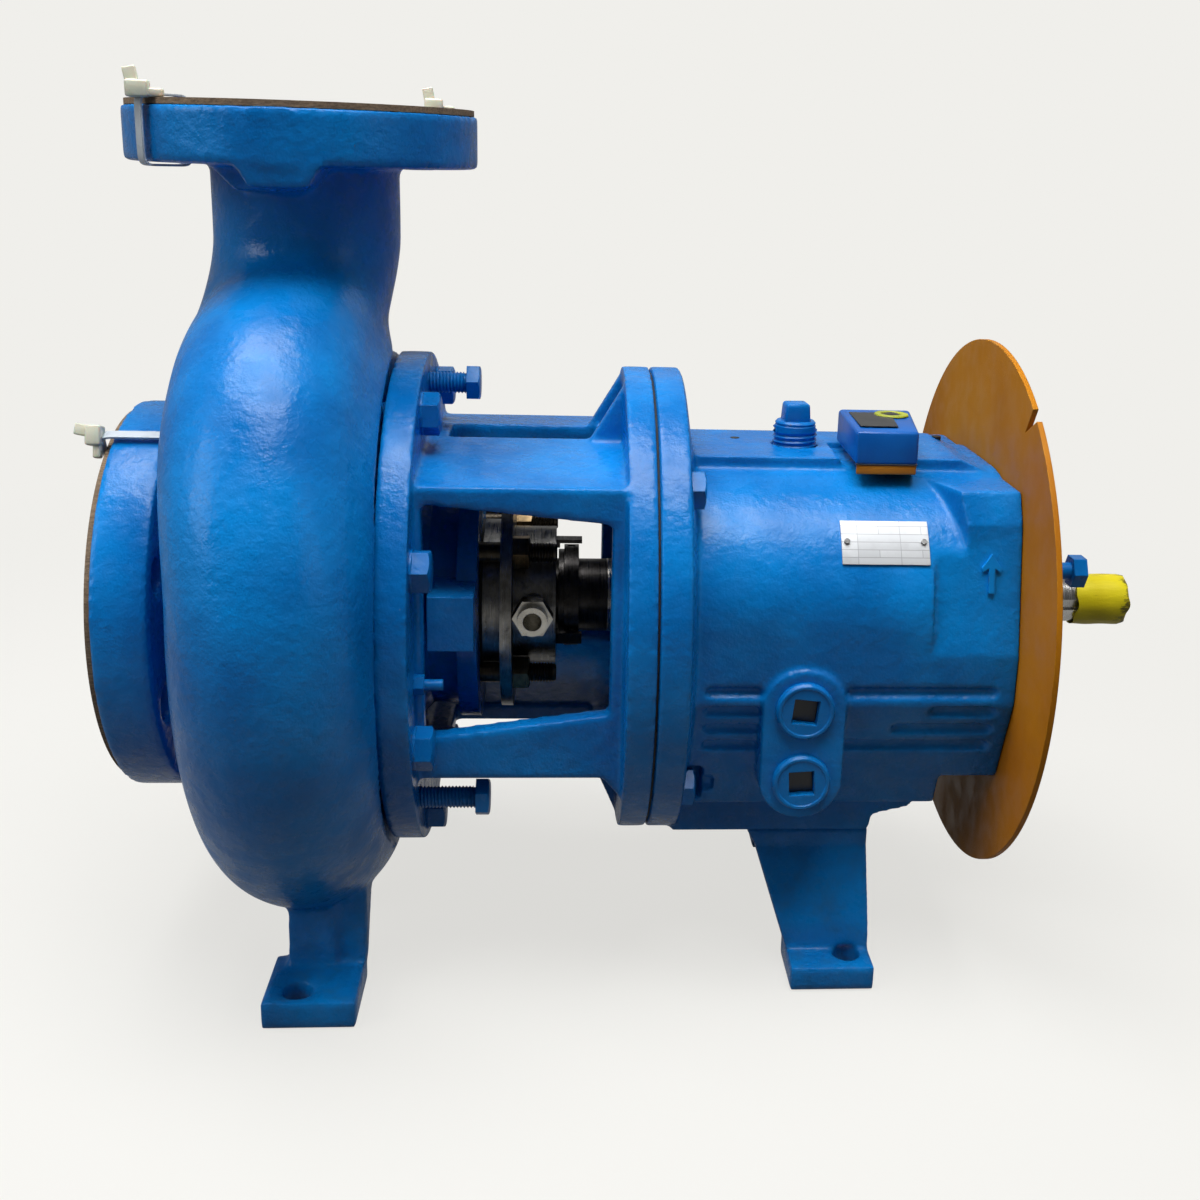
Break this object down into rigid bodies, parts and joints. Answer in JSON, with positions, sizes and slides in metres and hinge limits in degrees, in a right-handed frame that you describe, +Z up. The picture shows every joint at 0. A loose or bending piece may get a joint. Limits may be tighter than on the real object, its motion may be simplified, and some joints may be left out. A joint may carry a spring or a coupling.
{
  "type": "end-suction centrifugal pump",
  "caption": "Horizontal end-suction process pump with open adapter, mechanical seal, bearing frame and feet; the rotor turns in its bearings and the flange covers lift off.",
  "frame": {"origin": "on the base plane under the discharge centreline, midway between the front foot holes", "axes": "+X along the shaft from the suction side to the coupling end, +Z up along the discharge, +Y away from the side with the nameplate"},
  "size_m": [0.6001, 0.363, 0.4922],
  "materials": {
    "blue_paint": "glossy enamel over cast iron",
    "orange_paint": "powder coated sheet",
    "orange_plastic": "moulded",
    "hardboard": "pressed board with frayed rim",
    "gasket_fibre": "compressed fibre",
    "cast_alloy": "as cast",
    "ground_steel": "ground",
    "gland_steel": "turned, oiled",
    "dark_steel": "black oxide",
    "fitting_steel": "forged and turned",
    "seal_ceramic": "lapped",
    "bearing_steel": "ground and polished",
    "brass_cage": "pressed",
    "seal_rubber": "moulded",
    "seal_bronze": "turned",
    "sight_glass": "clear",
    "bezel_steel": "turned",
    "bare_plate": "brushed",
    "tie_plastic": "moulded, milky",
    "tape": "wound, printed and scuffed"
  },
  "bodies": {
    "pump": {"casing": "blue_paint", "suction_nozzle": "blue_paint", "discharge_nozzle": "blue_paint", "casing_drain_plug": "blue_paint", "stuffing_box_cover": "blue_paint", "frame_adapter": "blue_paint", "casing_bolts": "blue_paint", "jack_screws": "blue_paint", "cover_screws": "blue_paint", "frame_bolts": "blue_paint", "bearing_frame": "blue_paint", "side_plugs": "blue_paint", "oil_fill_plug": "blue_paint", "sump_drain_plug": "blue_paint", "rear_foot": "blue_paint", "rear_foot_bolts": "blue_paint", "adjusting_bolts": "blue_paint", "adjuster_jam_nuts": "blue_paint", "guard_bolts": "blue_paint", "bearing_housing": "blue_paint", "monitor_body": "blue_paint", "guard_plate": "orange_paint", "monitor_base": "orange_plastic", "casing_gasket": "gasket_fibre", "gland_gasket": "gasket_fibre", "frame_gasket": "gasket_fibre", "gland": "gland_steel", "gland_studs": "dark_steel", "gland_nuts": "dark_steel", "setting_clips": "dark_steel", "flush_port_fitting": "fitting_steel", "seal_seat": "seal_ceramic", "inboard_bearing_outer_ring": "bearing_steel", "outboard_bearing_outer_ring": "bearing_steel", "housing_o_ring": "seal_rubber", "outboard_oil_seal": "seal_bronze", "inboard_oil_seal": "seal_bronze", "sight_glass": "sight_glass", "sight_glass_bezel": "bezel_steel", "nameplate": "bare_plate", "nameplate_rivets": "bare_plate"},
    "rotor": {"shaft": "ground_steel", "impeller": "cast_alloy", "shaft_sleeve": "ground_steel", "drive_collar": "dark_steel", "collar_setscrews": "dark_steel", "seal_head": "dark_steel", "inboard_bearing_inner_ring": "bearing_steel", "outboard_bearing_inner_ring": "bearing_steel", "bearing_lockwasher": "dark_steel", "bearing_locknut": "dark_steel", "inboard_slinger": "seal_bronze"},
    "inboard_ball_set": {"inboard_bearing_balls": "bearing_steel", "inboard_bearing_cage": "brass_cage"},
    "outboard_ball_set": {"outboard_bearing_balls": "bearing_steel", "outboard_bearing_cage": "brass_cage"},
    "suction_cover": {"suction_board": "hardboard"},
    "discharge_cover": {"discharge_board": "hardboard"}
  },
  "joints": [
    {"name": "rotor_spin", "type": "hinge", "parent": "pump", "child": "rotor", "pos_m": [0, 0, 0.20955], "axis": [-1, 0, 0], "continuous": true},
    {"name": "inboard_cage_spin", "type": "hinge", "parent": "pump", "child": "inboard_ball_set", "pos_m": [0.2365, 0, 0.20955], "axis": [-1, 0, 0], "continuous": true},
    {"name": "outboard_cage_spin", "type": "hinge", "parent": "pump", "child": "outboard_ball_set", "pos_m": [0.3658, 0, 0.20955], "axis": [-1, 0, 0], "continuous": true},
    {"name": "suction_cover_off", "type": "slide", "parent": "pump", "child": "suction_cover", "axis": [-1, 0, 0], "range_m": [0, 0.15]},
    {"name": "discharge_cover_off", "type": "slide", "parent": "pump", "child": "discharge_cover", "axis": [0, 0, 1], "range_m": [0, 0.15]}
  ],
  "couplings": [
    {"joint": "inboard_cage_spin", "follows": "rotor_spin", "ratio": 0.3966},
    {"joint": "outboard_cage_spin", "follows": "rotor_spin", "ratio": 0.3966}
  ]
}
